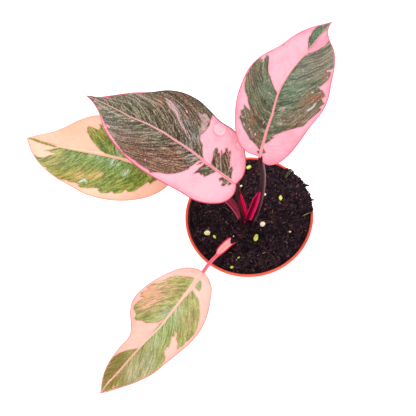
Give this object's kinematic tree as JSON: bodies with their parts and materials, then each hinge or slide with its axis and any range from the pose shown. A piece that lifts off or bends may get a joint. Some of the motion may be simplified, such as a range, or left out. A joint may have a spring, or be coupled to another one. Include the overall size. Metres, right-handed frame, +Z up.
{
  "type": "potted pink princess philodendron",
  "caption": "Young philodendron with pink and dark green variegated leaves on long petioles, rooted in potting soil in a round tapering plastic nursery pot that stands on a flat surface.",
  "frame": {"origin": "centre of the pot's flat base, on the surface that the pot stands on", "axes": "+Z up along the pot's axis; -Y towards the front, the side that the lowest leaf hangs over; +X to the right seen from the front"},
  "size_m": [0.2806, 0.2379, 0.2272],
  "materials": {
    "pot_plastic": "satin",
    "potting_soil": "matte",
    "stem_skin": "satin",
    "dark_petiole": "satin",
    "pink_petiole": "satin",
    "leaf_maroon_pink": "satin",
    "leaf_grey_pink": "satin",
    "leaf_green_peach": "satin",
    "leaf_olive_peach": "satin"
  },
  "bodies": {
    "root": {"pot": "pot_plastic", "soil": "potting_soil", "stem": "stem_skin", "petiole_upper_left": "dark_petiole", "petiole_upper_right": "dark_petiole", "petiole_left": "dark_petiole", "petiole_front": "pink_petiole", "blade_upper_left": "leaf_maroon_pink", "blade_upper_right": "leaf_grey_pink", "blade_left": "leaf_green_peach", "blade_front": "leaf_olive_peach"}
  },
  "joints": []
}
